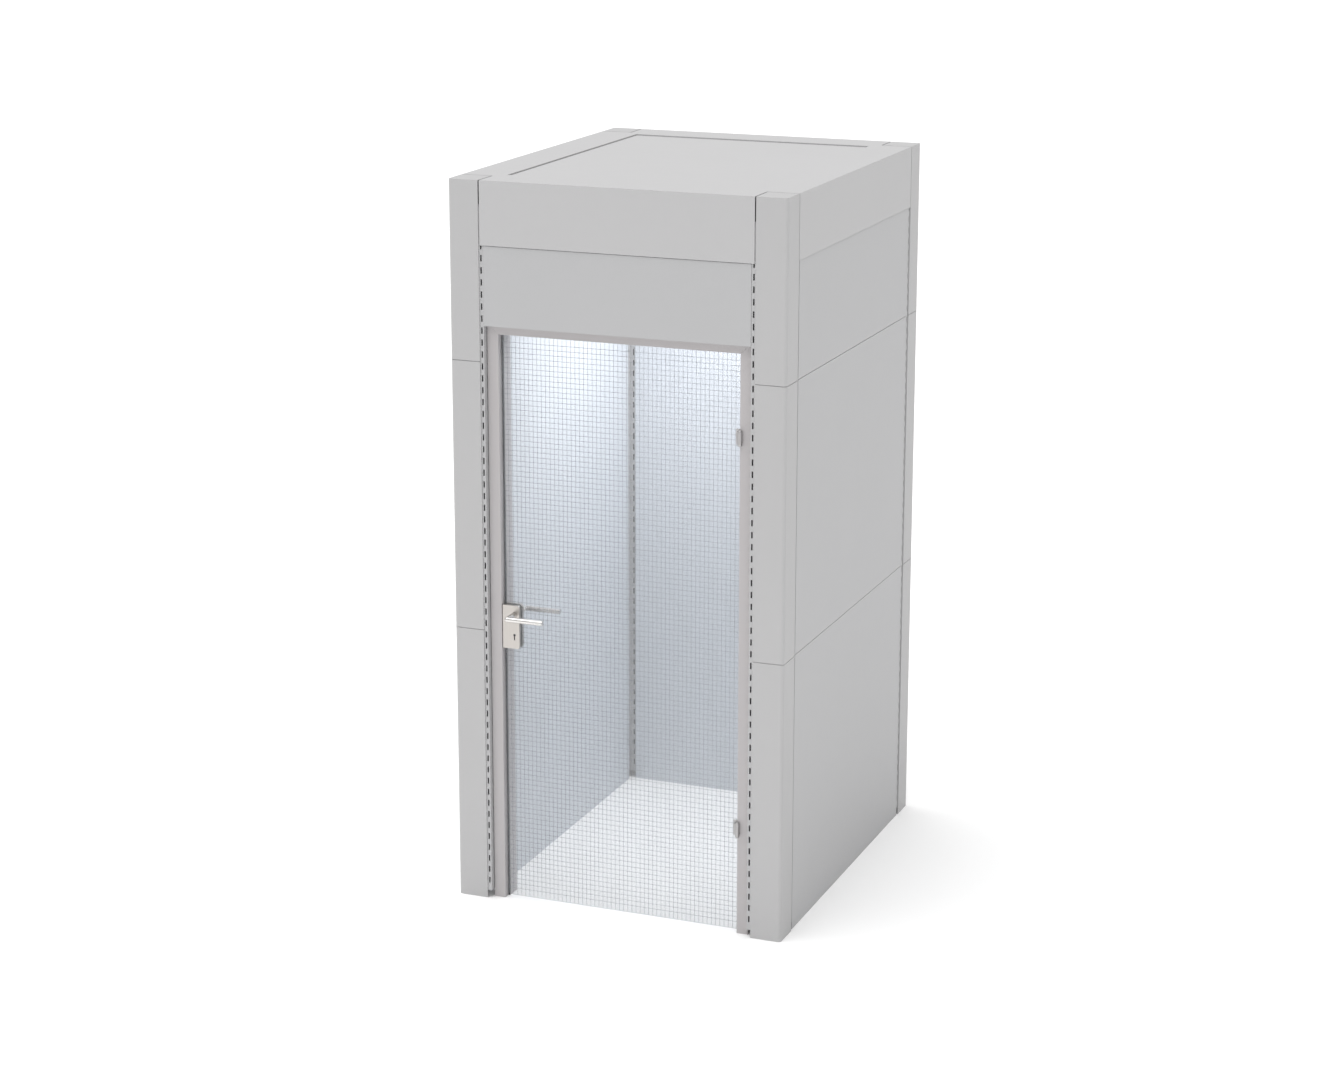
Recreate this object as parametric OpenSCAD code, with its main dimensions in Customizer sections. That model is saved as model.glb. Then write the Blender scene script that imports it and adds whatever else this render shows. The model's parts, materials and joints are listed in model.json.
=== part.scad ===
// Walk-in telephone booth: corner tubes with slotted rails, clip-on sheet covers, glass door.
// Origin: middle of the overall footprint, levers included, at floor level. +Z up, the door faces -Y.

/* [Overall size] */
// overall width
booth_w = 1100; // [950:10:1400]
// overall depth
booth_d = 1325; // [1000:12.5:1800]
// overall height
booth_h = 2325; // [2300:12.5:2700]

/* [Corner posts] */
// side of the square post cover
post_side = 100; // [96:1:120]
// radius of the post's outer edge
post_round = 10; // [4:1:20]
// height of the lower cover and wall panel level
level_low = 900; // [600:37.5:1050]
// height where the upper level starts
level_high = 1762.5; // [1500:37.5:1950]
// sheet thickness of the covers and panels
skin_t = 1.5; // [1:0.1:2]
// width of the slotted strip left free beside a post
strip_w = 14; // [12:0.5:20]
// how far the slotted strip lies behind the outer face
strip_set = 3.5; // [3:0.25:5]

/* [Corner tubes and slotted rails] */
// wall thickness of the tubes and rails
upright_t = 2.5; // [2:0.1:3.5]
// distance from slot to slot
slot_pitch = 37.5; // [25:2.5:75]
// height of a slot
slot_len = 20; // [10:1:24]
// width of a slot
slot_w = 5; // [3:0.5:7]
// height of the lowest slot's centre
slot_first = 60; // [50:1:100]
// free height below the tubes and rails
foot_h = 25; // [20:1:40]
// height left above the tubes, which holds the top frame
head_room = 75; // [60:1:90]

/* [Walls] */
// full wall thickness
wall_t = 95; // [88:1:98]
// how far a panel lies behind the posts' outer face
panel_set = 2.5; // [1.5:0.25:3]
// depth of a panel's folded edge
panel_depth = 17.5; // [15:0.5:18]
// joint between two panels
panel_joint = 1.5; // [1:0.25:3]
// height of the ceiling
ceiling_z = 2150; // [2050:10:2190]
// height of the ceiling tray
ceiling_t = 12; // [8:1:20]
// height of the bottom rails
rail_h = 40; // [30:1:60]

/* [Roof] */
// height of the roof cap's fascia
cap_h = 200; // [150:5:230]
// sheet thickness of the roof cap
cap_t = 2; // [1.5:0.1:3]
// gap between the roof cap and a post
cap_gap = 4; // [2:0.5:6]
// width of the roof's rim
rim_w = 137; // [120:1:180]
// how far the roof panel lies below the rim
roof_drop = 4; // [2:0.5:6]
// height of the roof tray
roof_t = 10; // [6:1:14]
// side of the square ceiling light
light_side = 320; // [200:10:400]

/* [Door frame] */
// height of the clear doorway
door_h = 1848; // [1750:1:1900]
// visible width of a jamb
jamb_w = 37; // [34:1:50]
// how far the door frame lies behind the outer face
frame_set = 21; // [21:1:28]
// wall thickness of the frame profile
frame_t = 2.5; // [2:0.1:3.5]
// height of the visible frame above the doorway
head_show = 27; // [20:1:34]
// projection of the stop behind the glass
stop_w = 6; // [5:0.5:9]

/* [Glass door] */
// glass thickness
glass_t = 8; // [6:1:10]
// glass face behind the frame's front face
glass_set = 16; // [15:0.5:19]
// gap around the glass leaf
glass_gap = 3; // [2.5:0.25:5]
// gap below the glass leaf
floor_gap = 7; // [5:1:15]
// diameter of a hinge knuckle
knuckle_d = 13.5; // [12:0.5:14]
// height of a hinge
hinge_h = 50; // [40:1:70]
// height of the lower hinge's centre
hinge_low = 345; // [200:5:500]
// height of the upper hinge's centre
hinge_high = 1590; // [1300:5:1690]
// hinge pin diameter
hinge_pin_d = 6; // [5:0.5:7]

/* [Lock and levers] */
// height of the lever's axis
lever_z = 953; // [900:1:1080]
// distance from lever axis to key hole
key_drop = 72; // [65:1:75]
// width of the lock case
case_w = 57; // [54:1:65]
// height of the lock case
case_h = 141; // [135:1:160]
// depth of a case half in front of the glass
case_depth = 13.3; // [12:0.1:16]
// lever axis behind the case's edge
backset = 40; // [38:0.5:42]
// lever bar diameter
lever_d = 17; // [14:0.5:19]
// lever length from its axis
lever_len = 120; // [90:1:140]
// how far the lever stands off the case
lever_off = 52; // [40:1:65]
// side of the square spindle
spindle_w = 8; // [6:0.5:9]

/* [Hidden] */
$fn = 48;
cut = 1;                                   // how far a cutting shape runs past a face
seat = 0.2;                                // gap between two seated sheets
slide_gap = 0.3;                           // clearance of a sliding or turning fit
pin_gap = 0.05;                            // radial clearance of a hinge pin
screw_gap = 0.1;                           // radial clearance of a fixing screw
strip_end = post_side + strip_w;           // end of the slotted strip, from the corner
wing_end = strip_end - 0.5;                // far side of a slotted rail, from the corner
wing_in = wall_t - strip_set;              // inner face of the corner tubes and rails
slot_u = post_side + strip_w * 0.46;       // slot column, from the corner
upright_top = booth_h - head_room;
slot_n = floor((upright_top - slot_len - slot_first) / slot_pitch) + 1;
cap_z = booth_h - cap_h;
cap_u = post_side + cap_gap;
span_w = booth_w - 2 * strip_end;          // panel width, front and back
span_d = booth_d - 2 * strip_end;          // panel width, sides
level_z = [0, level_low, level_high, cap_z];
wall_screw_z = [150, level_low - 75, level_low + 75, level_high - 75, level_high + 75, cap_z - 75];
jamb_screw_z = [120, door_h / 2 + 40, door_h - 120];
jamb_screw_v = 70;
cover_z = [0, level_low, level_high, booth_h];
screw_d = 4;
screw_head_d = 7.6;
screw_head_h = 2.6;
screw_len = 12;
screw_v = panel_set + panel_depth / 2;     // screw line of the outer panels
liner_v = wall_t - panel_depth / 2;        // screw line of the liners
jamb_u = strip_end + 2;                    // outer edge of a jamb's front part
jamb_back_u = wing_end + seat;             // outer edge of a jamb's rear part
door_u = jamb_u + jamb_w;                  // doorway edge, from the corner
door_x = booth_w / 2 - door_u;             // doorway edge, from the middle
stop_u = door_u + stop_w;
glass_v = frame_set + glass_set;           // front face of the glass
glass_back = glass_v + glass_t;
stop_v = glass_back + 3.3;                 // front face of the stop
frame_back = wall_t + 2;
head_top = door_h + jamb_w;                // top of the head, partly behind the transom
transom_z = door_h + head_show;
transom_screw_z = [transom_z + 100];
glass_x = door_x - glass_gap;
glass_top = door_h - glass_gap;
knuckle_r = knuckle_d / 2;
hinge_x = door_x + 2;
hinge_v = frame_set - knuckle_r - slide_gap;
hinge_zs = [hinge_low, hinge_high];
knuckle_h = hinge_h / 2 - slide_gap / 2;
shoe_t = 3;
shoe_x = door_x - glass_gap - 0.5;         // outer edge of the hinge's shoe on the glass
nut_d = 10;
stud_d = 6;
stud_x = door_x - stop_w - 0.8 - nut_d / 2;
stud_dz = 14;
shoe_w = shoe_x - stud_x + nut_d / 2 + 0.5;
frame_stud_d = 6;
frame_stud_x = door_x + frame_t + frame_stud_d / 2 + seat;
case_x = -glass_x - 1;                     // outer edge of the lock case
case_back_x = -(booth_w / 2 - stop_u) + 1.5;
case_v = glass_v - seat - case_depth;      // front face of the outside case
case_end = glass_back + seat + case_depth;
lever_reach = lever_off + lever_d / 2 - case_v;    // how far the outside lever stands out in front
mid_y = lever_reach / 2;                   // middle of the cabin, from the origin
case_mid = lever_z - 40.5;                 // height of the lock case's middle
case_round = 8;
lever_x = case_x + backset;
key_z = lever_z - key_drop;
hub_r = 9;
body_x = case_back_x + skin_t + seat;
body_w = lever_x + hub_r + 2 - body_x;
body_h = case_h - 20;
bolt_t = 9;
bolt_v = glass_v + glass_t / 2 - 1 - bolt_t / 2;
bolt_zs = [lever_z, key_z];
bolt_hs = [16, 20];
bolt_tip = -glass_x + 3;
bolt_len = lever_x - hub_r - 2.2 - bolt_tip;
bolt_room = [4, 0.5];                      // free length behind each bolt
strike_t = 1.2;
strike_z0 = case_mid - body_h / 2;
light_z = ceiling_z - 3;                   // underside of the ceiling light
ledge_z = booth_h - roof_drop - roof_t;
cover_steel = [0.80, 0.80, 0.80];
panel_steel = [0.78, 0.78, 0.78];
upright_steel = [0.72, 0.72, 0.73];
frame_steel = [0.74, 0.72, 0.71];
hard_steel = [0.62, 0.61, 0.60];
white_steel = [0.86, 0.87, 0.88];

// puts a corner's local frame (u and v inwards from the outer faces) at corner sx, sy
module at_corner(sx, sy) {
    translate([sx * booth_w / 2, mid_y + sy * booth_d / 2, 0])
        mirror([sx > 0 ? 1 : 0, 0, 0])
            mirror([0, sy > 0 ? 1 : 0, 0])
                children();
}

// puts a wall's local frame (x along the wall, y inwards from the outer face) at a side
module on_wall(side) {
    if (side == "front") translate([0, mid_y - booth_d / 2, 0]) children();
    if (side == "back") translate([0, mid_y + booth_d / 2, 0]) rotate([0, 0, 180]) children();
    if (side == "left") translate([-booth_w / 2, mid_y, 0]) rotate([0, 0, -90]) children();
    if (side == "right") translate([booth_w / 2, mid_y, 0]) rotate([0, 0, 90]) children();
}

// a box from corner to corner
module box(a, b) {
    translate(a) cube(b - a);
}

// a front-view outline (x, z) pushed back from v0 to v1
module slab(v0, v1) {
    translate([0, v1, 0]) rotate([90, 0, 0]) linear_extrude(v1 - v0) children();
}

// a round bar along y from v0 to v1
module bar_y(x, z, v0, v1, d) {
    translate([x, v1, z]) rotate([90, 0, 0]) cylinder(d = d, h = v1 - v0);
}

// ---- corner posts -------------------------------------------------------------------------

// square tube that the covers and both slotted rails of a corner stand on
module corner_tube(sx, sy) {
    side = wing_in - strip_set;
    color(upright_steel) at_corner(sx, sy) translate([strip_set, strip_set, foot_h]) difference() {
        cube([side, side, upright_top - foot_h]);
        translate([upright_t, upright_t, 6])
            cube([side - 2 * upright_t, side - 2 * upright_t, upright_top - foot_h]);
        translate([post_side / 2 - strip_set, post_side / 2 - strip_set, -cut])
            cylinder(r = 6 + screw_gap, h = 6 + 2 * cut);
    }
}

// tube with a column of slots in its outer and inner face; way 0 runs along the front or back wall
module slotted_rail(sx, sy, way) {
    color(upright_steel) at_corner(sx, sy) difference() {
        mirror([way, -way, 0]) difference() {
            box([wing_in, strip_set, foot_h], [wing_end, wing_in, upright_top]);
            box([wing_in + upright_t, strip_set + upright_t, foot_h - cut],
                [wing_end - upright_t, wing_in - upright_t, upright_top + cut]);
            for (k = [0 : slot_n - 1]) {
                z = slot_first + k * slot_pitch - slot_len / 2;
                box([slot_u - slot_w / 2, 0, z], [slot_u + slot_w / 2, wall_t, z + slot_len]);
            }
        }
        screw_places(sy) cylinder(r = screw_d / 2 + screw_gap, h = 20, center = true);
    }
}

// screw places of one corner: each child's +z runs out of the rail's end wall, 0 is under the head
module screw_places(sy) {
    tray_u = strip_end + skin_t;
    jamb_in = jamb_back_u + frame_t;
    for (z = wall_screw_z, v = [screw_v, liner_v]) {
        translate([v, tray_u, z]) rotate([-90, 0, 0]) children();
        if (sy > 0) translate([tray_u, v, z]) rotate([0, 90, 0]) children();
    }
    if (sy < 0) {
        for (z = jamb_screw_z) translate([jamb_in, jamb_screw_v, z]) rotate([0, 90, 0]) children();
        for (z = transom_screw_z, v = [screw_v, liner_v]) {
            translate([tray_u, v, z]) rotate([0, 90, 0]) children();
        }
    }
}

module cover_outline(inset, r) {
    far = post_side - inset;
    difference() {
        translate([inset, inset]) square(far - inset);
        translate([inset, inset]) square(r);
    }
    translate([inset + r, inset + r]) circle(r);
}

module post_cover(sx, sy, level) {
    low = cover_z[level] + (level > 0 ? panel_joint / 2 : 0);
    top = cover_z[level + 1] - (level < 2 ? panel_joint / 2 : 0);
    lip = strip_set - seat;
    color(cover_steel) at_corner(sx, sy) {
        translate([0, 0, low]) linear_extrude(top - low) difference() {
            cover_outline(0, post_round);
            cover_outline(skin_t, post_round - skin_t);
            translate([lip, lip]) square(post_side);
        }
        if (level == 2) translate([0, 0, top - skin_t]) linear_extrude(skin_t) cover_outline(0, post_round);
    }
}

// ---- walls --------------------------------------------------------------------------------

// folded tray of length len between two heights; face is the visible plane, into the way it folds
module tray(len, z0, z1, face, into, screw_z) {
    v0 = into > 0 ? face : face - panel_depth;
    c0 = into > 0 ? face + skin_t : face - panel_depth - cut;
    difference() {
        box([-len / 2, v0, z0], [len / 2, v0 + panel_depth, z1]);
        box([-len / 2 + skin_t, c0, z0 + skin_t],
            [len / 2 - skin_t, c0 + panel_depth - skin_t + cut, z1 - skin_t]);
        for (z = screw_z) if (z > z0 && z < z1) {
            translate([0, v0 + panel_depth / 2, z]) rotate([0, 90, 0])
                cylinder(r = screw_d / 2 + screw_gap, h = len + 2 * cut, center = true);
        }
    }
}

module wall_panel(side, level) {
    low = level_z[level] + (level > 0 ? panel_joint / 2 : 0);
    top = level_z[level + 1] - (level < 2 ? panel_joint / 2 : panel_joint);
    len = side == "back" ? span_w : span_d;
    color(panel_steel) on_wall(side) tray(len, low, top, panel_set, 1, wall_screw_z);
}

module liner(side) {
    len = side == "back" ? span_w : span_d;
    color(white_steel) on_wall(side) tray(len, 0, ceiling_z, wall_t, -1, wall_screw_z);
}

module transom_panel() {
    color(panel_steel) on_wall("front")
        tray(span_w, transom_z, cap_z - panel_joint, panel_set, 1, transom_screw_z);
}

module transom_liner() {
    color(white_steel) on_wall("front")
        tray(span_w, head_top + seat, ceiling_z, wall_t, -1, transom_screw_z);
}

module bottom_rail(side) {
    len = (side == "back" ? booth_w : booth_d) - 2 * wing_end - 2 * seat;
    v0 = panel_set + panel_depth + seat;
    v1 = wall_t - panel_depth - seat;
    color(upright_steel) on_wall(side) difference() {
        box([-len / 2, v0, foot_h], [len / 2, v1, foot_h + rail_h]);
        box([-len / 2 - cut, v0 + 2, foot_h + 2], [len / 2 + cut, v1 - 2, foot_h + rail_h - 2]);
    }
}

// ---- roof ---------------------------------------------------------------------------------

module plan(inset) {
    translate([0, mid_y]) square([booth_w - 2 * inset, booth_d - 2 * inset], center = true);
}

module corner_squares(side) {
    for (sx = [-1, 1], sy = [-1, 1]) {
        translate([sx * (booth_w - side) / 2, mid_y + sy * (booth_d - side) / 2]) square(side, center = true);
    }
}

module top_frame() {
    z0 = upright_top;
    z1 = booth_h - cap_t - seat;
    color(upright_steel) difference() {
        translate([0, 0, z0]) linear_extrude(z1 - z0) difference() {
            plan(20);
            plan(80);
        }
        translate([0, 0, z0 + 3]) linear_extrude(z1 - z0 - 6) difference() {
            plan(23);
            plan(80 + cut);
        }
    }
}

module roof_cap() {
    lip = strip_set - seat;
    color(cover_steel) union() {
        translate([0, 0, booth_h - cap_t]) linear_extrude(cap_t) difference() {
            plan(0);
            corner_squares(cap_u);
            plan(rim_w);
        }
        for (side = ["front", "back", "left", "right"]) on_wall(side) {
            half = (side == "front" || side == "back" ? booth_w : booth_d) / 2 - cap_u;
            box([-half, 0, cap_z], [half, cap_t, booth_h]);
            box([-half, 0, cap_z], [-half + cap_t, lip, booth_h]);
            box([half - cap_t, 0, cap_z], [half, lip, booth_h]);
        }
        translate([0, 0, ledge_z - cap_t]) linear_extrude(booth_h - ledge_z + cap_t) difference() {
            plan(rim_w - cap_t);
            plan(rim_w);
        }
        translate([0, 0, ledge_z - cap_t]) linear_extrude(cap_t) difference() {
            plan(rim_w - cap_t);
            plan(rim_w + 14);
        }
    }
}

// shallow sheet tray, open downwards, that rests on the cap's ledge
module roof_panel() {
    color(cover_steel) translate([0, 0, ledge_z]) difference() {
        linear_extrude(roof_t) plan(rim_w + 1.5);
        translate([0, 0, -cut]) linear_extrude(roof_t - cap_t + cut) plan(rim_w + 1.5 + cap_t);
    }
}

module ceiling_outline(inset) {
    difference() {
        plan(wall_t - panel_depth + 1 + inset);
        corner_squares(strip_end + 1 + inset);
        translate([0, mid_y]) square(light_side + 2 + 2 * inset, center = true);
    }
}

// shallow sheet tray, open upwards, that lies on the liners
module ceiling_panel() {
    color(white_steel) translate([0, 0, ceiling_z]) difference() {
        linear_extrude(ceiling_t) ceiling_outline(0);
        translate([0, 0, skin_t]) linear_extrude(ceiling_t) ceiling_outline(skin_t);
    }
}

// square block of the given side between two heights, in the middle of the ceiling
module light_block(side, z0, z1) {
    translate([-side / 2, mid_y - side / 2, z0]) cube([side, side, z1 - z0]);
}

module ceiling_light_housing() {
    color(white_steel) difference() {
        union() {
            light_block(light_side, light_z, light_z + 60);
            light_block(light_side + 30, light_z, light_z + 3);
        }
        light_block(light_side - 4, light_z + 2, light_z + 58);
        light_block(light_side - 20, light_z - cut, light_z + 5);
    }
}

module ceiling_light_diffuser() {
    color([0.97, 0.97, 0.95]) light_block(light_side - 6, light_z + 2, light_z + 6);
}

// ---- door frame ---------------------------------------------------------------------------

// front view of a jamb between u0 and u1, mitred at the top
module jamb_layer(u0, u1) {
    top = head_top - seat / 2;
    outer = u0 < jamb_u ? [[jamb_u, top], [u0, top]] : [[u0, top]];
    polygon(concat([[u0, 0], [u1, 0], [u1, door_h + door_u - u1 - seat / 2]], outer));
}

module door_jamb(sx) {
    back_in = frame_back - frame_t;
    color(frame_steel) at_corner(sx, -1) difference() {
        union() {
            slab(frame_set, stop_v) jamb_layer(jamb_u, door_u);
            slab(stop_v, frame_back) jamb_layer(jamb_back_u, stop_u);
        }
        box([jamb_u + frame_t, frame_set + frame_t, -cut], [door_u - frame_t, back_in, head_top + cut]);
        box([jamb_back_u + frame_t, stop_v + frame_t, -cut], [stop_u - frame_t, back_in, head_top + cut]);
        for (z = jamb_screw_z) translate([jamb_back_u, jamb_screw_v, z]) rotate([0, 90, 0])
            cylinder(r = screw_d / 2 + screw_gap, h = 8, center = true);
        if (sx > 0) for (z = hinge_zs) {
            bar_y(booth_w / 2 - frame_stud_x, z - hinge_h / 4, frame_set - cut, frame_set + frame_t + cut,
                frame_stud_d + 2 * screw_gap);
        }
        if (sx < 0) {
            box([door_u - strike_t, bolt_v - 4, strike_z0], [door_u + cut, stop_v - cut, strike_z0 + body_h]);
            for (i = [0, 1]) bolt_slot(i, door_u - frame_t - cut, door_u + cut);
        }
    }
}

// passage of bolt i through the frame or the strike plate, u0 to u1 from the corner
module bolt_slot(i, u0, u1) {
    z = bolt_zs[i];
    h = bolt_hs[i] / 2 + 0.6;
    box([u0, bolt_v - 0.5, z - h], [u1, bolt_v + bolt_t + 0.5, z + h]);
}

// front view of the head, half width x at its lower edge, mitred at both ends
module head_layer(x, z, top) {
    polygon([[-x, z], [x, z], [x + top - z, top], [-x - top + z, top]]);
}

module door_head() {
    z_back = door_h - stop_w;
    top = head_top + seat / 2;
    back_in = frame_back - frame_t;
    color(frame_steel) on_wall("front") difference() {
        union() {
            slab(frame_set, stop_v) head_layer(door_x, door_h + seat / 2, top);
            slab(stop_v, frame_back) head_layer(door_x - stop_w, z_back + seat / 2, top);
        }
        box([-booth_w / 2, frame_set + frame_t, door_h + frame_t], [booth_w / 2, back_in, head_top - frame_t]);
        box([-booth_w / 2, stop_v + frame_t, z_back + frame_t], [booth_w / 2, back_in, head_top - frame_t]);
    }
}

module door_seal() {
    a = door_x - 0.3;
    b = door_x - stop_w + 0.7;
    t = door_h - 0.3;
    s = door_h - stop_w + 0.7;
    color([0.12, 0.12, 0.12]) on_wall("front") slab(glass_back + slide_gap, stop_v)
        polygon([[-a, 0], [-a, t], [a, t], [a, 0], [b, 0], [b, s], [-b, s], [-b, 0]]);
}

module strike_plate() {
    color(hard_steel) on_wall("front") translate([-booth_w / 2, 0, 0]) difference() {
        box([door_u - strike_t, bolt_v - 4 + seat, strike_z0 + seat],
            [door_u, stop_v - cut - seat, strike_z0 + body_h - seat]);
        for (i = [0, 1]) bolt_slot(i, door_u - strike_t - cut, door_u + cut);
    }
}

// ---- door ---------------------------------------------------------------------------------

module glass_leaf() {
    color([0.86, 0.92, 0.95, 0.35]) on_wall("front") difference() {
        box([-glass_x, glass_v, floor_gap], [glass_x, glass_back, glass_top]);
        box([-glass_x - cut, glass_v - cut, case_mid - body_h / 2 - 1],
            [body_x + body_w + 1, glass_back + cut, case_mid + body_h / 2 + 1]);
        for (z = hinge_zs, dz = [-stud_dz, stud_dz]) bar_y(stud_x, z + dz, glass_v - cut, glass_back + cut, stud_d + 1);
    }
}

// outline of the lock case seen from the front, rounded on the glass side
module case_outline(x0, inset) {
    x1 = case_x + case_w - inset;
    z0 = case_mid - case_h / 2 + inset;
    z1 = case_mid + case_h / 2 - inset;
    r = case_round - inset;
    difference() {
        translate([x0 + inset, z0]) square([x1 - x0 - inset, z1 - z0]);
        translate([x1 - r, z0]) square(r);
        translate([x1 - r, z1 - r]) square(r);
    }
    translate([x1 - r, z0 + r]) circle(r);
    translate([x1 - r, z1 - r]) circle(r);
}

// old-style key hole
module key_hole(v0, v1) {
    bar_y(lever_x, key_z + 6, v0, v1, 8);
    box([lever_x - 1.8, v0, key_z - 11], [lever_x + 1.8, v1, key_z + 6]);
}

// half of the lock case between v0 and v1, open towards the glass; out is -1 for the outside half
module lock_case(x0, v0, v1, out) {
    c0 = out < 0 ? v0 + skin_t : v0 - cut;
    c1 = out < 0 ? v1 + cut : v1 - skin_t;
    color(hard_steel) on_wall("front") difference() {
        slab(v0, v1) case_outline(x0, 0);
        slab(c0, c1) case_outline(x0, skin_t);
        bar_y(lever_x, lever_z, v0 - cut, v1 + cut, lever_d + 2 * slide_gap);
        key_hole(v0 - cut, v1 + cut);
        if (out < 0) box([x0 - cut, bolt_v - 0.5, case_mid - body_h / 2 + 2],
            [x0 + skin_t + cut, v1 + cut, case_mid + body_h / 2 - 2]);
    }
}

module lock_case_outside() {
    lock_case(case_x, case_v, glass_v - seat, -1);
}

module lock_case_inside() {
    lock_case(case_back_x, glass_back + seat, case_end, 1);
}

module lock_body() {
    v0 = case_v + skin_t + seat;
    v1 = case_end - skin_t - seat;
    z0 = case_mid - body_h / 2;
    color(hard_steel) on_wall("front") difference() {
        union() {
            box([body_x, v0, z0], [body_x + body_w, v1, z0 + body_h]);
            box([case_x + skin_t + seat, v0, z0], [body_x + cut, glass_back, z0 + body_h]);
        }
        bar_y(lever_x, lever_z, v0 - cut, v1 + cut, 2 * (hub_r + slide_gap));
        key_hole(v0 - cut, v1 + cut);
        for (i = [0, 1]) {
            h = bolt_hs[i] / 2 + slide_gap;
            box([case_x, bolt_v - slide_gap, bolt_zs[i] - h],
                [bolt_tip + bolt_len + bolt_room[i], bolt_v + bolt_t + slide_gap, bolt_zs[i] + h]);
        }
    }
}

module bolt(i) {
    h = bolt_hs[i] / 2;
    color(hard_steel) on_wall("front")
        box([bolt_tip, bolt_v, bolt_zs[i] - h], [bolt_tip + bolt_len, bolt_v + bolt_t, bolt_zs[i] + h]);
}

module latch_bolt() {
    bolt(0);
}

module deadbolt() {
    bolt(1);
}

module spindle() {
    v0 = case_v + skin_t + 2 * seat;
    v1 = case_end - skin_t - 2 * seat;
    color(hard_steel) on_wall("front") {
        bar_y(lever_x, lever_z, v0, v1, 2 * hub_r);
        box([lever_x - spindle_w / 2, case_v - 30, lever_z - spindle_w / 2],
            [lever_x + spindle_w / 2, case_end + 30, lever_z + spindle_w / 2]);
    }
}

// way -1 is the outside lever, 1 the inside one; near is the case face it stands on
module lever(near, way) {
    far = near + way * lever_off;
    root = near - way * (skin_t + seat);
    sock = spindle_w / 2 + seat;
    color(hard_steel) on_wall("front") difference() {
        union() {
            bar_y(lever_x, lever_z, min(root, far), max(root, far), lever_d);
            translate([lever_x, far, lever_z]) sphere(d = lever_d);
            translate([lever_x, far, lever_z]) rotate([0, 90, 0]) cylinder(d = lever_d, h = lever_len);
        }
        box([lever_x - sock, min(root, near + way * 31) - (way > 0 ? cut : 0), lever_z - sock],
            [lever_x + sock, max(root, near + way * 31) + (way < 0 ? cut : 0), lever_z + sock]);
    }
}

module lever_outside() {
    lever(case_v, -1);
}

module lever_inside() {
    lever(case_end, 1);
}

// ---- hinges -------------------------------------------------------------------------------

// rounded hinge barrel standing on z0, its domed end up
module knuckle() {
    r = knuckle_r;
    hole = hinge_pin_d / 2 + pin_gap;
    rotate_extrude() polygon([[hole, 0], [r, 0], [r, knuckle_h - 4], [r - 0.8, knuckle_h - 1.8],
        [r - 2.4, knuckle_h], [hole, knuckle_h]]);
}

module hinge_frame_halves() {
    color(hard_steel) on_wall("front") for (z = hinge_zs) {
        translate([hinge_x, hinge_v, z - slide_gap / 2]) mirror([0, 0, 1]) knuckle();
        difference() {
            bar_y(frame_stud_x, z - hinge_h / 4, hinge_v, frame_set + 24, frame_stud_d);
            translate([hinge_x, hinge_v, z - hinge_h]) cylinder(r = knuckle_r - 0.4, h = hinge_h);
        }
    }
}

module hinge_door_halves() {
    color(hard_steel) on_wall("front") for (z = hinge_zs) {
        z0 = z + slide_gap / 2;
        translate([hinge_x, hinge_v, z0]) knuckle();
        difference() {
            union() {
                box([shoe_x - shoe_w, glass_v - seat - shoe_t, z - hinge_h / 2],
                    [shoe_x, glass_v - seat, z + hinge_h / 2]);
                box([shoe_x - 7, hinge_v, z0 + 2], [shoe_x + 1, glass_v - seat, z0 + knuckle_h - 5]);
                for (dz = [-stud_dz, stud_dz]) bar_y(stud_x, z + dz, glass_v - 2, glass_back + 9, stud_d);
            }
            translate([hinge_x, hinge_v, z - hinge_h]) cylinder(r = knuckle_r - 0.4, h = 2 * hinge_h);
        }
    }
}

module hinge_pins() {
    color(hard_steel) on_wall("front") for (z = hinge_zs) {
        translate([hinge_x, hinge_v, z - hinge_h / 2 + 1]) cylinder(d = hinge_pin_d, h = hinge_h - 2);
    }
}

module hinge_nuts() {
    color(hard_steel) on_wall("front") for (z = hinge_zs, dz = [-stud_dz, stud_dz]) difference() {
        bar_y(stud_x, z + dz, glass_back + seat, glass_back + 8, nut_d);
        bar_y(stud_x, z + dz, glass_back, glass_back + 9, stud_d + 2 * pin_gap);
    }
}

// ---- feet and screws ----------------------------------------------------------------------

module levelling_feet() {
    color(hard_steel) for (sx = [-1, 1], sy = [-1, 1]) at_corner(sx, sy) translate([post_side / 2, post_side / 2, 0]) {
        cylinder(d = 45, h = 8);
        cylinder(d = 18, h = foot_h);
        cylinder(d = 12, h = foot_h + 30);
    }
}

module screw() {
    color(hard_steel) {
        translate([0, 0, -screw_len]) cylinder(d = screw_d, h = screw_len);
        cylinder(d = screw_head_d, h = screw_head_h);
    }
}

module fixing_screws() {
    for (sx = [-1, 1], sy = [-1, 1]) at_corner(sx, sy) {
        screw_places(sy) screw();
    }
}

corner_tube(-1, -1);  // corner_tube_front_left
corner_tube(1, -1);  // corner_tube_front_right
corner_tube(-1, 1);  // corner_tube_back_left
corner_tube(1, 1);  // corner_tube_back_right
slotted_rail(-1, -1, 0);  // slotted_rail_front_left_face
slotted_rail(-1, -1, 1);  // slotted_rail_front_left_side
slotted_rail(1, -1, 0);  // slotted_rail_front_right_face
slotted_rail(1, -1, 1);  // slotted_rail_front_right_side
slotted_rail(-1, 1, 0);  // slotted_rail_back_left_face
slotted_rail(-1, 1, 1);  // slotted_rail_back_left_side
slotted_rail(1, 1, 0);  // slotted_rail_back_right_face
slotted_rail(1, 1, 1);  // slotted_rail_back_right_side
post_cover(-1, -1, 0);  // post_cover_front_left_lower
post_cover(-1, -1, 1);  // post_cover_front_left_middle
post_cover(-1, -1, 2);  // post_cover_front_left_upper
post_cover(1, -1, 0);  // post_cover_front_right_lower
post_cover(1, -1, 1);  // post_cover_front_right_middle
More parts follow.
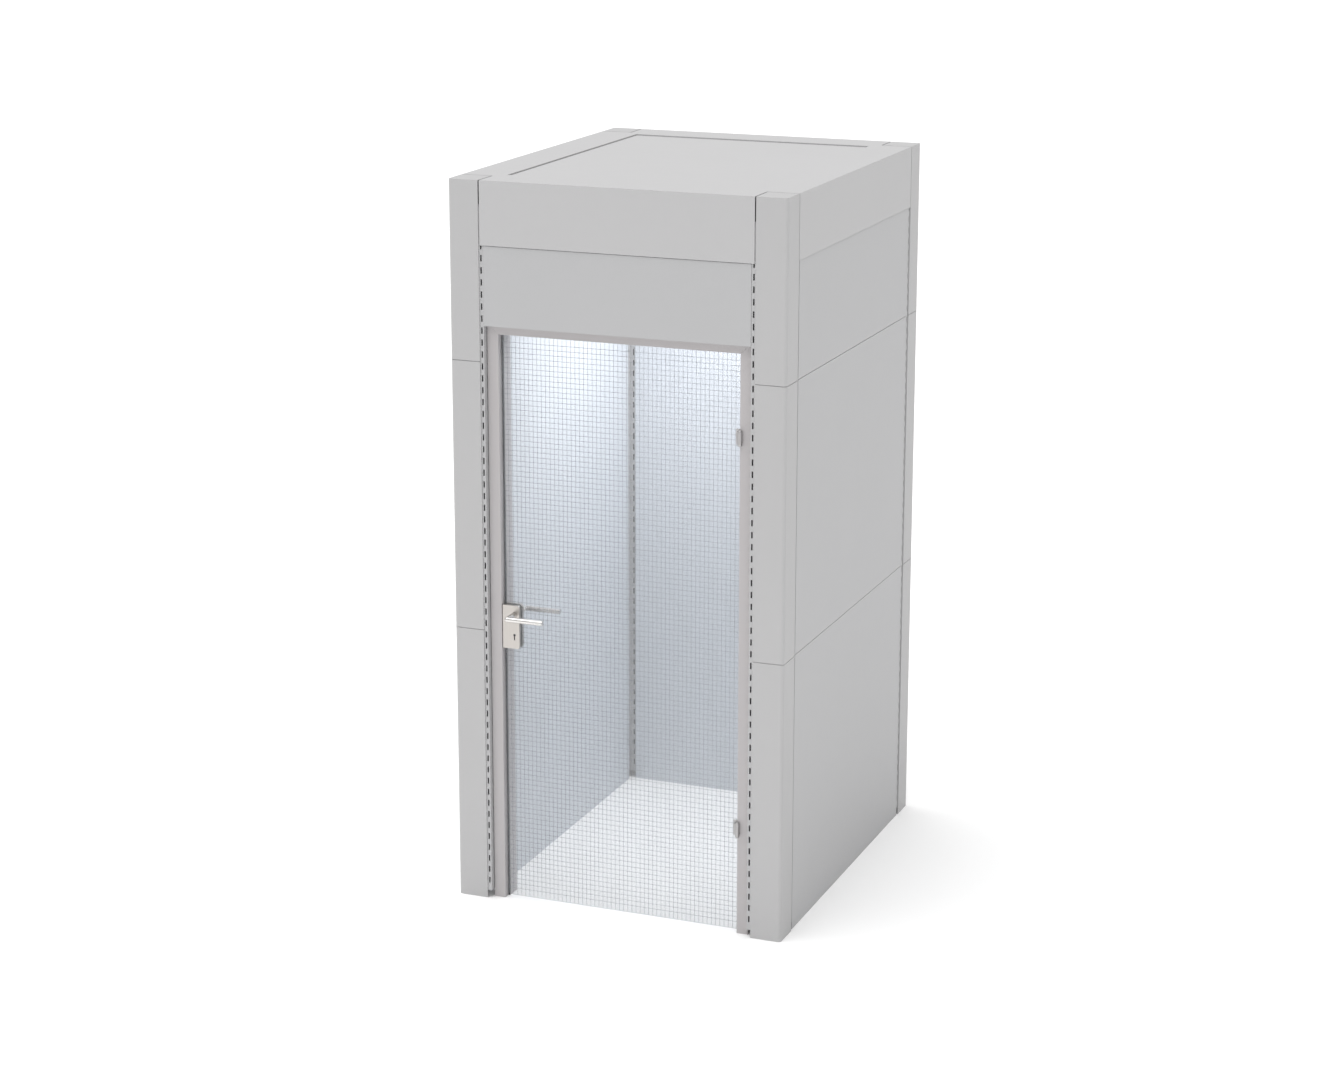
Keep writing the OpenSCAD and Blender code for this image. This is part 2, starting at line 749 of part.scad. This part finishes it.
post_cover(1, -1, 2);  // post_cover_front_right_upper
post_cover(-1, 1, 0);  // post_cover_back_left_lower
post_cover(-1, 1, 1);  // post_cover_back_left_middle
post_cover(-1, 1, 2);  // post_cover_back_left_upper
post_cover(1, 1, 0);  // post_cover_back_right_lower
post_cover(1, 1, 1);  // post_cover_back_right_middle
post_cover(1, 1, 2);  // post_cover_back_right_upper
wall_panel("left", 0);  // panel_left_lower
wall_panel("left", 1);  // panel_left_middle
wall_panel("left", 2);  // panel_left_upper
wall_panel("right", 0);  // panel_right_lower
wall_panel("right", 1);  // panel_right_middle
wall_panel("right", 2);  // panel_right_upper
wall_panel("back", 0);  // panel_back_lower
wall_panel("back", 1);  // panel_back_middle
wall_panel("back", 2);  // panel_back_upper
transom_panel();
transom_liner();
liner("left");  // liner_left
liner("right");  // liner_right
liner("back");  // liner_back
bottom_rail("left");  // bottom_rail_left
bottom_rail("right");  // bottom_rail_right
bottom_rail("back");  // bottom_rail_back
top_frame();
roof_cap();
roof_panel();
ceiling_panel();
ceiling_light_housing();
ceiling_light_diffuser();
door_jamb(-1);  // door_jamb_left
door_jamb(1);  // door_jamb_right
door_head();
door_seal();
strike_plate();
glass_leaf();
lock_case_outside();
lock_case_inside();
lock_body();
latch_bolt();
deadbolt();
spindle();
lever_outside();
lever_inside();
hinge_frame_halves();
hinge_door_halves();
hinge_pins();
hinge_nuts();
levelling_feet();
fixing_screws();
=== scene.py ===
import json
import math
import bpy
import numpy as np
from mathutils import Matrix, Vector


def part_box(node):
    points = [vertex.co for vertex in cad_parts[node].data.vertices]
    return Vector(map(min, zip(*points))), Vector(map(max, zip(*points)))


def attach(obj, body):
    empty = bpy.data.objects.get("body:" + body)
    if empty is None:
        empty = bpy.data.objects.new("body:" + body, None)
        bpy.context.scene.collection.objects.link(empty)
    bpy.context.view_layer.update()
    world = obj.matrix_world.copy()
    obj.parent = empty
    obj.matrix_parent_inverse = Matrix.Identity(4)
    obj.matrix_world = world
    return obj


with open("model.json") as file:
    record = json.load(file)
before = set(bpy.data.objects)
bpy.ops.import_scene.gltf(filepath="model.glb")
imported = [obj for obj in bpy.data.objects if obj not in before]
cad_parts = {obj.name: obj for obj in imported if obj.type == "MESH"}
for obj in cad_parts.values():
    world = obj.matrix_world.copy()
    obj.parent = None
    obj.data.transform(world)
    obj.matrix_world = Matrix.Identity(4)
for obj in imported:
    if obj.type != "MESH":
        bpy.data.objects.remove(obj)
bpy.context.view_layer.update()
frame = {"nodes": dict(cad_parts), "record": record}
nodes = frame["nodes"]
print("frame loaded:", len(nodes), "nodes")


def meshPiece(name, points, faces, finish):
    # points is an (n, 3) array in metres, faces an (m, 4) array of corner numbers
    mesh = bpy.data.meshes.new(name)
    mesh.from_pydata(points.tolist(), [], faces.tolist())
    mesh.materials.append(finish)
    mesh.validate()
    piece = bpy.data.objects.new(name, mesh)
    bpy.context.collection.objects.link(piece)
    return piece


class Signal:
    # one output socket; sums, products and powers with it add Math nodes to its tree
    def __init__(self, tree, socket):
        self.tree, self.socket = tree, socket

    def node(self, kind, settings, sockets, out=0):
        # settings are set first, then each socket gets its value or link; out picks the output
        made = self.tree.nodes.new("ShaderNode" + kind)
        for key, value in settings.items():
            setattr(made, key, value)
        for key, value in sockets.items():
            feed(made.inputs[key], value)
        return Signal(self.tree, made.outputs[out])

    def math(self, operation, first, second=0.0):
        return self.node("Math", {"operation": operation}, {0: first, 1: second})

    def __add__(self, other): return self.math("ADD", self, other)
    def __radd__(self, other): return self.math("ADD", other, self)
    def __sub__(self, other): return self.math("SUBTRACT", self, other)
    def __rsub__(self, other): return self.math("SUBTRACT", other, self)
    def __mul__(self, other): return self.math("MULTIPLY", self, other)
    def __rmul__(self, other): return self.math("MULTIPLY", other, self)
    def __pow__(self, other): return self.math("POWER", self, other)

    def sine(self): return self.math("SINE", self)

    def noise(self, scale, detail, rough=0.5):
        sockets = {"Vector": self, "Scale": scale, "Detail": detail, "Roughness": rough}
        return self.node("TexNoise", {}, sockets)

    def stretched(self, x, y, z):
        return self.node("Mapping", {}, {"Vector": self, "Scale": (x, y, z)})

    def band(self, low, high):
        # 0 below low, 1 above high, straight between
        return self.node("MapRange", {}, {"Value": self, "From Min": low, "From Max": high})

    def around(self, amount):
        # a 0 to 1 signal moved down by a half, then made amount wide
        return (self - 0.5) * amount

    def times(self, amount):
        # a colour or vector made brighter or longer by an amount
        return self.node("VectorMath", {"operation": "SCALE"}, {0: self, "Scale": amount})

    def blended(self, other, share):
        # this colour at share 0, the other at share 1
        return self.node("Mix", {"data_type": "RGBA"}, {0: share, 6: self, 7: other}, 2)


def feed(socket, value):
    if isinstance(value, Signal):
        socket.id_data.links.new(value.socket, socket)
    else:
        socket.default_value = value


def newFinish(name):
    # an empty material with its shader's sockets, and the signal of object coordinates
    finish = bpy.data.materials.new(name)
    finish.use_nodes = True
    tree = finish.node_tree
    place = tree.nodes.new("ShaderNodeTexCoord")
    return finish, tree.nodes["Principled BSDF"].inputs, Signal(tree, place.outputs["Object"])


def colour(place, rgb):
    # a plain colour as a signal
    return place.node("Mix", {"data_type": "RGBA"}, {0: 0.0, 6: (*rgb, 1), 7: (*rgb, 1)}, 2)


edgeMask = {"samples": 4, "low": 0.02, "high": 0.25}


def softEdges(place, radius):
    # (the normal bent over edges within radius, a mask that is 1 on those edges)
    # mask = 1 - bent normal . straight normal, spread from low to high
    bent = place.node("Bevel", {"samples": edgeMask["samples"]}, {"Radius": radius})
    straight = place.node("NewGeometry", {}, {}, 1)
    along = place.node("VectorMath", {"operation": "DOT_PRODUCT"}, {0: bent, 1: straight}, 1)
    return bent, (1 - along).band(edgeMask["low"], edgeMask["high"])


def wornBase(place, look, edge):
    # the finish's own colour, moved towards its edge colour by the wear on its edges
    return colour(place, look["rgb"]).blended((*look["edgeRgb"], 1), edge * look["wear"])


def relief(place, height, depth, normal=None):
    # the normal tilted by a height signal that is depth metres tall
    sockets = {"Height": height, "Distance": depth, "Strength": 1.0}
    if normal is not None:
        sockets["Normal"] = normal
    return place.node("Bump", {}, sockets)


paint = {"rough": 0.5, "sheen": 0.35, "round": 0.0012, "wear": 0.25,
         "drift": 0.035, "driftScale": 2.4, "driftStretch": 0.45,
         "cloud": 0.02, "cloudScale": 23, "cloudGloss": 0.12,
         "peel": 420, "peelShare": 0.7, "peelGloss": 0.1, "depth": 0.00012,
         "grain": 1500, "grainShare": 0.3, "fleck": 0.05,
         "dust": 0.04, "dustScale": 60, "dustTop": 0.35}


def powderCoat(name, look):
    # baked paint: tone drifts slowly, a fine orange peel and grain, lighter over edges, dusty near the floor
    finish, shader, place = newFinish(name)
    drift = place.stretched(1, 1, look["driftStretch"]).noise(look["driftScale"], detail=4, rough=0.6)
    cloud = place.noise(look["cloudScale"], detail=3, rough=0.55)
    peel = place.noise(look["peel"], detail=2)
    grain = place.noise(look["grain"], detail=1)
    bent, edge = softEdges(place, look["round"])
    up = place.node("SeparateXYZ", {}, {0: place}, 2)
    dusty = (1 - up.band(0.0, look["dustTop"])) * place.noise(look["dustScale"], detail=5, rough=0.7)
    tone = 1 + drift.around(look["drift"]) + cloud.around(look["cloud"]) + grain.around(look["fleck"])
    feed(shader["Base Color"], wornBase(place, look, edge).times(tone - dusty * look["dust"]))
    gloss = cloud.around(look["cloudGloss"])
    feed(shader["Roughness"], look["rough"] + gloss + peel.around(look["peelGloss"]))
    height = peel * look["peelShare"] + grain * look["grainShare"]
    feed(shader["Normal"], relief(place, height, look["depth"], bent))
    shader["Specular IOR Level"].default_value = look["sheen"]
    return finish


steel = {"metal": 1.0, "rough": 0.36, "round": 0.0008, "wear": 0.6, "depth": 0.00004,
         "lines": (1300, 1300, 14), "streak": 0.22, "lineShare": 0.8, "lineGloss": 0.16,
         "stain": 0.08, "stainScale": 38, "stainGloss": 0.12, "pits": 1900, "pitShare": 0.2}


def brushedSteel(name, look):
    # drawn metal: hair lines along one direction, broad soft stains, brighter edges
    finish, shader, place = newFinish(name)
    hair = place.stretched(*look["lines"]).noise(1.0, detail=3, rough=0.6)
    stain = place.noise(look["stainScale"], detail=4, rough=0.6)
    pits = place.noise(look["pits"], detail=1)
    bent, edge = softEdges(place, look["round"])
    tone = 1 + hair.around(look["streak"]) + stain.around(look["stain"])
    feed(shader["Base Color"], wornBase(place, look, edge).times(tone))
    gloss = hair.around(look["lineGloss"])
    feed(shader["Roughness"], look["rough"] + gloss + stain.around(look["stainGloss"]))
    height = hair * look["lineShare"] + pits * look["pitShare"]
    feed(shader["Normal"], relief(place, height, look["depth"], bent))
    shader["Metallic"].default_value = look["metal"]
    return finish


zinc = {"metal": 0.85, "rough": 0.45, "round": 0.001, "wear": 0.4, "depth": 0.00005,
        "crystals": 70, "flake": 0.16, "flakeGloss": 0.2, "flakeShare": 0.3,
        "grain": 900, "grainGloss": 0.1, "stain": 0.16, "stainScale": 9}


def zincedSteel(name, look):
    # hot-dip zinc: flat crystals of slightly different tone and gloss, grain between them
    finish, shader, place = newFinish(name)
    crystal = place.node("TexVoronoi", {}, {"Vector": place, "Scale": look["crystals"]}, 1)
    flake = place.node("SeparateColor", {}, {0: crystal}, 0)
    grain = place.noise(look["grain"], detail=2, rough=0.6)
    stain = place.noise(look["stainScale"], detail=4, rough=0.6)
    bent, edge = softEdges(place, look["round"])
    tone = 1 + flake.around(look["flake"]) + stain.around(look["stain"])
    feed(shader["Base Color"], wornBase(place, look, edge).times(tone))
    gloss = flake.around(look["flakeGloss"])
    feed(shader["Roughness"], look["rough"] + gloss + grain.around(look["grainGloss"]))
    feed(shader["Normal"], relief(place, grain + flake * look["flakeShare"], look["depth"], bent))
    shader["Metallic"].default_value = look["metal"]
    return finish


rubber = {"rgb": (0.022, 0.022, 0.024), "bloomRgb": (0.06, 0.06, 0.062), "bloom": 0.5, "bloomScale": 45,
          "bloomFrom": 0.45, "bloomTo": 0.8, "bloomGloss": 0.2, "rough": 0.62,
          "lines": (900, 900, 3), "lineTone": 0.3, "depth": 0.00008}


def sealRubber(name, look):
    # extruded rubber: fine lines along its length, a bloom of dust
    finish, shader, place = newFinish(name)
    lines = place.stretched(*look["lines"]).noise(1.0, detail=2)
    bloom = place.noise(look["bloomScale"], detail=5, rough=0.65)
    bloomed = bloom.band(look["bloomFrom"], look["bloomTo"]) * look["bloom"]
    base = colour(place, look["rgb"]).blended((*look["bloomRgb"], 1), bloomed)
    feed(shader["Base Color"], base.times(1 + lines.around(look["lineTone"])))
    feed(shader["Roughness"], look["rough"] + bloom.around(look["bloomGloss"]))
    feed(shader["Normal"], relief(place, lines, look["depth"]))
    return finish


glass = {"rgb": (0.38, 0.39, 0.40), "cover": 0.18, "index": 1.5, "gloss": 1.0, "rough": 0.01,
         "smears": 0.02, "smearFrom": 0.45, "smearTo": 0.85, "smearTone": 0.1,
         "matFrom": 0.5, "matTo": 0.8, "mat": 0.05, "waves": 3.5, "depth": 0.0006}


def clearGlass(name, look):
    # float glass: lets most light straight through, and less the flatter it is looked along:
    # cover = least + (1 - least) * facing ^ 5; faint waves and wiped smears in the gloss
    finish, shader, place = newFinish(name)
    wave = place.noise(look["waves"], detail=1, rough=0.4)
    smear = place.stretched(4, 4, 1.6).noise(2.2, detail=6, rough=0.7)
    facing = place.node("LayerWeight", {}, {}, 1)
    least = look["cover"] + smear.band(look["smearFrom"], look["smearTo"]) * look["smears"]
    tone = 1 + smear.around(look["smearTone"])
    feed(shader["Base Color"], colour(place, look["rgb"]).times(tone))
    feed(shader["Roughness"], look["rough"] + smear.band(look["matFrom"], look["matTo"]) * look["mat"])
    feed(shader["Alpha"], least + (1 - least) * facing ** 5)
    feed(shader["Normal"], relief(place, wave, look["depth"]))
    shader["Specular IOR Level"].default_value = look["gloss"]
    shader["IOR"].default_value = look["index"]
    return finish


lensLow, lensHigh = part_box("ceiling_light_diffuser")
lensMiddle = (lensLow + lensHigh) / 2
opal = {"rgb": (0.97, 0.985, 1.0), "strength": 2.5, "pitch": 0.008, "middle": tuple(lensMiddle),
        "dimFrom": 0.02, "dimTo": 0.2, "dim": 0.25, "sparkle": 0.04, "depth": 0.0006,
        "rough": 0.35, "grain": 120, "grainGloss": 0.1}


def lampOpal(name, look):
    # lit diffuser: small pyramids pressed into the sheet, a little darker towards its rim
    # pyramids = sine of x * sine of y, one turn for each pitch
    finish, shader, place = newFinish(name)
    x = place.node("SeparateXYZ", {}, {0: place}, 0)
    y = place.node("SeparateXYZ", {}, {0: place}, 1)
    turn = 2 * math.pi / look["pitch"]
    pyramids = (x * turn).sine() * (y * turn).sine()
    far = place.node("VectorMath", {"operation": "DISTANCE"}, {0: place, 1: look["middle"]}, 1)
    glow = 1 - far.band(look["dimFrom"], look["dimTo"]) * look["dim"]
    lit = colour(place, look["rgb"]).times(glow + pyramids * look["sparkle"])
    feed(shader["Base Color"], lit)
    feed(shader["Emission Color"], lit)
    feed(shader["Roughness"], look["rough"] + place.noise(look["grain"], detail=2) * look["grainGloss"])
    feed(shader["Normal"], relief(place, pyramids, look["depth"]))
    shader["Emission Strength"].default_value = look["strength"]
    return finish


coverPaint = {**paint, "rgb": (0.502, 0.499, 0.502), "edgeRgb": (0.68, 0.68, 0.68)}
panelPaint = {**paint, "rgb": (0.497, 0.497, 0.503), "edgeRgb": (0.66, 0.66, 0.67)}
# painted light: the roof's paint is made a little lighter than the walls' paint, standing in for the extra
# light that falls on the roof top from above
roofPaintPaintedLight = {**paint, "rgb": (0.525, 0.522, 0.526), "edgeRgb": (0.68, 0.68, 0.68)}
uprightPaint = {**paint, "rgb": (0.50, 0.50, 0.505), "edgeRgb": (0.6, 0.6, 0.6)}
framePaint = {**paint, "rgb": (0.500, 0.479, 0.483), "edgeRgb": (0.62, 0.6, 0.6), "rough": 0.42}
linerPaint = {**paint, "rgb": (0.71, 0.74, 0.78), "edgeRgb": (0.79, 0.81, 0.84), "peel": 300,
              "rough": 0.55}
ceilingPaint = {**paint, "rgb": (0.72, 0.73, 0.75), "edgeRgb": (0.8, 0.8, 0.8), "rough": 0.62}
structureZinc = {**zinc, "rgb": (0.26, 0.265, 0.27), "edgeRgb": (0.4, 0.4, 0.4)}
screwZinc = {**zinc, "rgb": (0.6, 0.61, 0.63), "edgeRgb": (0.75, 0.75, 0.76), "crystals": 260,
             "rough": 0.38, "metal": 1.0}
lockSteel = {**steel, "rgb": (0.56, 0.53, 0.50), "edgeRgb": (0.75, 0.73, 0.7)}
leverSteel = {**steel, "rgb": (0.74, 0.72, 0.70), "edgeRgb": (0.85, 0.84, 0.82),
              "lines": (14, 1300, 1300), "rough": 0.27}
hingeSteel = {**steel, "rgb": (0.46, 0.45, 0.45), "edgeRgb": (0.6, 0.6, 0.6),
              "lines": (1300, 1300, 20), "rough": 0.42}
boltSteel = {**steel, "rgb": (0.5, 0.5, 0.5), "edgeRgb": (0.65, 0.65, 0.65)}

finishes = {
    "cover_paint": powderCoat("coverPaint", coverPaint),
    "panel_paint": powderCoat("panelPaint", panelPaint),
    "roof_paint": powderCoat("roofPaintPaintedLight", roofPaintPaintedLight),
    "upright_paint": powderCoat("uprightPaint", uprightPaint),
    "frame_paint": powderCoat("framePaint", framePaint),
    "liner_paint": powderCoat("linerPaint", linerPaint),
    "ceiling_board": powderCoat("ceilingPaint", ceilingPaint),
    "structure_steel": zincedSteel("structureZinc", structureZinc),
    "light_lens": lampOpal("lampOpal", opal),
    "door_glass": clearGlass("doorGlass", glass),
    "lock_steel": brushedSteel("lockSteel", lockSteel),
    "lever_steel": brushedSteel("leverSteel", leverSteel),
    "hinge_steel": brushedSteel("hingeSteel", hingeSteel),
    "bolt_steel": brushedSteel("boltSteel", boltSteel),
    "screw_zinc": zincedSteel("screwZinc", screwZinc),
    "seal_rubber": sealRubber("sealRubber", rubber),
}
for part in frame["record"]["subparts"]:
    node = nodes[part["node"]]
    node.data.materials.clear()
    node.data.materials.append(finishes[part["material_slot"]])
print("finishes made:", len(finishes))


# wire mesh cast into the door's glass: pitch across and up, bare rims, and room round lock and studs
glassWire = {"across": 0.0142, "up": 0.0163, "plain": 0.019, "edge": 0.001, "thick": 0.0011, "sides": 6,
             "layer": 0.45, "lockRoom": 0.002, "studRoom": 0.0045,
             "studs": [(0.3852, z + dz) for z in (0.345, 1.59) for dz in (-0.014, 0.014)]}


def clipped(lines, low, high, gaps):
    # runs (line, from, to) of lines between low and high, broken where a gap (l0, l1, from, to) covers them
    runs = []
    for line in lines:
        cuts = sorted((g[2], g[3]) for g in gaps if g[0] < line < g[1])
        start = low
        for first, last in cuts:
            if first > start:
                runs.append((line, start, first))
            start = max(start, last)
        if start < high:
            runs.append((line, start, high))
    return np.array(runs)


def bars(starts, ends, thick, sides):
    # a ring of sides points round each end of every bar, joined by quads and closed by fans of quads:
    # ring = (cosine of turn * side + sine of turn * depth axis) * half the thickness
    way = ends - starts
    way /= np.linalg.norm(way, axis=1, keepdims=True)
    side = np.cross(way, [0.0, 1.0, 0.0])
    turn = np.arange(sides) * 2 * np.pi / sides
    ring = (np.cos(turn)[None, :, None] * side[:, None, :]
            + np.sin(turn)[None, :, None] * np.array([0.0, 1.0, 0.0])) * thick / 2
    points = np.stack([starts[:, None, :] + ring, ends[:, None, :] + ring], axis=1).reshape(-1, 3)
    k = np.arange(sides)
    after = (k + 1) % sides
    wall = np.stack([k, k + sides, after + sides, after], axis=1)
    half = np.arange(sides // 2 - 1)
    cap = np.stack([0 * half, 2 * half + 1, 2 * half + 2, (2 * half + 3) % sides], axis=1)
    caps = np.concatenate([cap, cap[:, ::-1] + sides])
    one = np.concatenate([wall, caps])
    faces = (one[None] + (np.arange(len(starts)) * 2 * sides)[:, None, None]).reshape(-1, 4)
    return points, faces


def wirePattern(look):
    # upright and level wires spaced evenly about the leaf's middle, the two layers just touching
    low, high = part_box("glass_leaf")
    lockLow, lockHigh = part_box("lock_body")
    edge, room, lockRoom = look["edge"], look["studRoom"], look["lockRoom"]
    middle = (low.y + high.y) / 2
    gaps = [(low.x - 1, lockHigh.x + lockRoom, lockLow.z - lockRoom, lockHigh.z + lockRoom)]
    gaps += [(x - room, x + room, z - room, z + room) for x, z in look["studs"]]
    countX = int((high.x - low.x - 2 * edge) / look["across"])
    countZ = int((high.z - low.z - 2 * look["plain"]) / look["up"])
    xs = (low.x + high.x) / 2 + (np.arange(countX + 1) - countX / 2) * look["across"]
    zs = (low.z + high.z) / 2 + (np.arange(countZ + 1) - countZ / 2) * look["up"]
    upright = clipped(xs, low.z + edge, high.z - edge, gaps)
    level = clipped(zs, low.x + edge, high.x - edge, [(g[2], g[3], g[0], g[1]) for g in gaps])
    shift = look["thick"] * look["layer"]
    front, back = np.full(len(upright), middle - shift), np.full(len(level), middle + shift)
    starts = np.concatenate([np.stack([upright[:, 0], front, upright[:, 1]], 1),
                             np.stack([level[:, 1], back, level[:, 0]], 1)])
    ends = np.concatenate([np.stack([upright[:, 0], front, upright[:, 2]], 1),
                           np.stack([level[:, 2], back, level[:, 0]], 1)])
    return bars(starts, ends, look["thick"], look["sides"])


wireSteel = {**steel, "rgb": (0.33, 0.34, 0.36), "edgeRgb": (0.40, 0.41, 0.43), "round": 0.0001,
             "rough": 0.5}
wires = meshPiece("glass_wires", *wirePattern(glassWire), brushedSteel("wireSteel", wireSteel))
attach(wires, "door")
print("glass wires:", len(wires.data.polygons), "faces")


studioFloor = {"size": 80, "tone": 0.95, "glow": 0.08, "rough": 0.85, "sheen": 0.1,
               "mottle": 0.01, "mottleScale": 3}


def stageFloor(look):
    # a level square, its corners at plus and minus half its size
    corner = np.array([[-1, -1, 0], [1, -1, 0], [1, 1, 0], [-1, 1, 0]]) * look["size"] / 2
    finish, shader, place = newFinish("studioFloor")
    mottle = place.noise(look["mottleScale"], detail=3).around(look["mottle"])
    feed(shader["Base Color"], colour(place, (look["tone"],) * 3).times(1 + mottle))
    shader["Roughness"].default_value = look["rough"]
    shader["Specular IOR Level"].default_value = look["sheen"]
    shader["Emission Strength"].default_value = look["glow"]
    floor = meshPiece("studio_floor", corner, np.array([[0, 1, 2, 3]]), finish)


def turnedTo(place, aim):
    # the rotation that looks from place to aim, with up kept upright
    return (Vector(aim) - Vector(place)).to_track_quat("-Z", "Y").to_euler()


def softLight(name, kind, place, aim, power):
    lamp = bpy.data.lights.new(name, kind)
    lamp.energy = power
    holder = bpy.data.objects.new(name, lamp)
    holder.location = place
    holder.rotation_euler = turnedTo(place, aim)
    bpy.context.collection.objects.link(holder)
    return lamp


stageFloor(studioFloor)

# white to the camera, and as bright as sky for everything that it lights
studio = {"sky": 0.47, "backdrop": 1.0, "sun": 2.65, "sunFrom": (-0.17, -0.12, 1.0), "sunAngle": 1.3}
world = bpy.data.worlds.new("studioWorld")
world.use_nodes = True
backdrop = world.node_tree.nodes["Background"]
backdrop.inputs["Color"].default_value = (1, 1, 1, 1)
seen = world.node_tree.nodes.new("ShaderNodeLightPath").outputs["Is Camera Ray"]
shade = world.node_tree.nodes.new("ShaderNodeMapRange")
shade.inputs["To Min"].default_value = studio["sky"]
shade.inputs["To Max"].default_value = studio["backdrop"]
world.node_tree.links.new(seen, shade.inputs["Value"])
world.node_tree.links.new(shade.outputs["Result"], backdrop.inputs["Strength"])
bpy.context.scene.world = world
overhead = softLight("overheadLight", "SUN", studio["sunFrom"], (0, 0, 0), studio["sun"])
overhead.angle = studio["sunAngle"]

# the ceiling light's own light, just under its diffuser
cabin = {"power": 11.0, "size": (0.55, 0.9), "spread": 2.4, "back": 0.08, "drop": 0.004}
cabinX, cabinY = lensMiddle.x, lensMiddle.y + cabin["back"]
cabinLamp = softLight("cabinLight", "AREA", (cabinX, cabinY, lensLow.z - cabin["drop"]),
                      (cabinX, cabinY, 0), cabin["power"])
cabinLamp.shape = "RECTANGLE"
cabinLamp.size, cabinLamp.size_y = cabin["size"]
cabinLamp.spread = cabin["spread"]
bpy.context.scene.view_settings.view_transform = "Standard"

shot = {"place": (3.3730, -8.7385, 3.6131), "aim": (-0.1183, -0.0177, 1.2732), "lens": 79.8,
        "sensor": 36.0, "clipEnd": 200.0, "shift": (0.009, -0.045)}
lens = bpy.data.cameras.new("shot")
lens.lens, lens.sensor_width, lens.clip_end = shot["lens"], shot["sensor"], shot["clipEnd"]
lens.shift_x, lens.shift_y = shot["shift"]
camera = bpy.data.objects.new("shot", lens)
camera.location = shot["place"]
camera.rotation_euler = turnedTo(shot["place"], shot["aim"])
bpy.context.collection.objects.link(camera)
bpy.context.scene.camera = camera
print("stage, lights and camera set")
